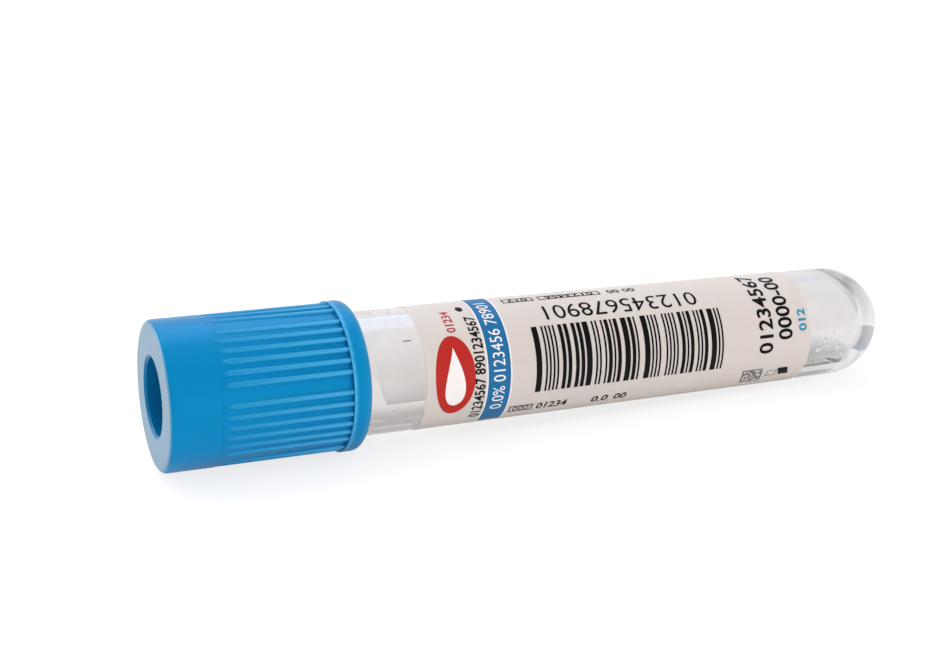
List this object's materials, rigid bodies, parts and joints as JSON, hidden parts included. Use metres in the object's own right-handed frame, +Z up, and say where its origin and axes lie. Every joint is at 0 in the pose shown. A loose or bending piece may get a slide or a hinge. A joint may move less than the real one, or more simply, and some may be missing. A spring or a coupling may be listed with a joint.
{
  "type": "evacuated blood collection tube",
  "caption": "Clear round-bottom tube with a wrapped paper label, a rubber stopper and a ribbed light blue pull-off safety cap, holding liquid additive.",
  "frame": {"origin": "on the floor, below the middle of the tube's overall length", "axes": "X runs along the lying tube with the cap at -X and the round bottom at +X, Y is across it, +Z is up; the tube's own axis rises 1.57 degrees towards the cap, as it lies"},
  "size_m": [0.0848, 0.0156, 0.0159],
  "materials": {
    "clear_tube": "clear moulded plastic, polished",
    "stopper_rubber": "matt dark grey butyl rubber",
    "blue_cap": "semi-gloss moulded light blue plastic",
    "label_paper": "satin coated warm white label stock with print",
    "liquid": "clear watery liquid"
  },
  "bodies": {
    "tube_body": {"tube": "clear_tube", "label": "label_paper", "additive": "liquid"},
    "closure": {"stopper": "stopper_rubber", "shield": "blue_cap"}
  },
  "joints": [
    {"name": "closure_pull", "type": "slide", "parent": "tube_body", "child": "closure", "axis": [-0.9996, 0, 0.0275], "range_m": [0, 0.03]}
  ]
}
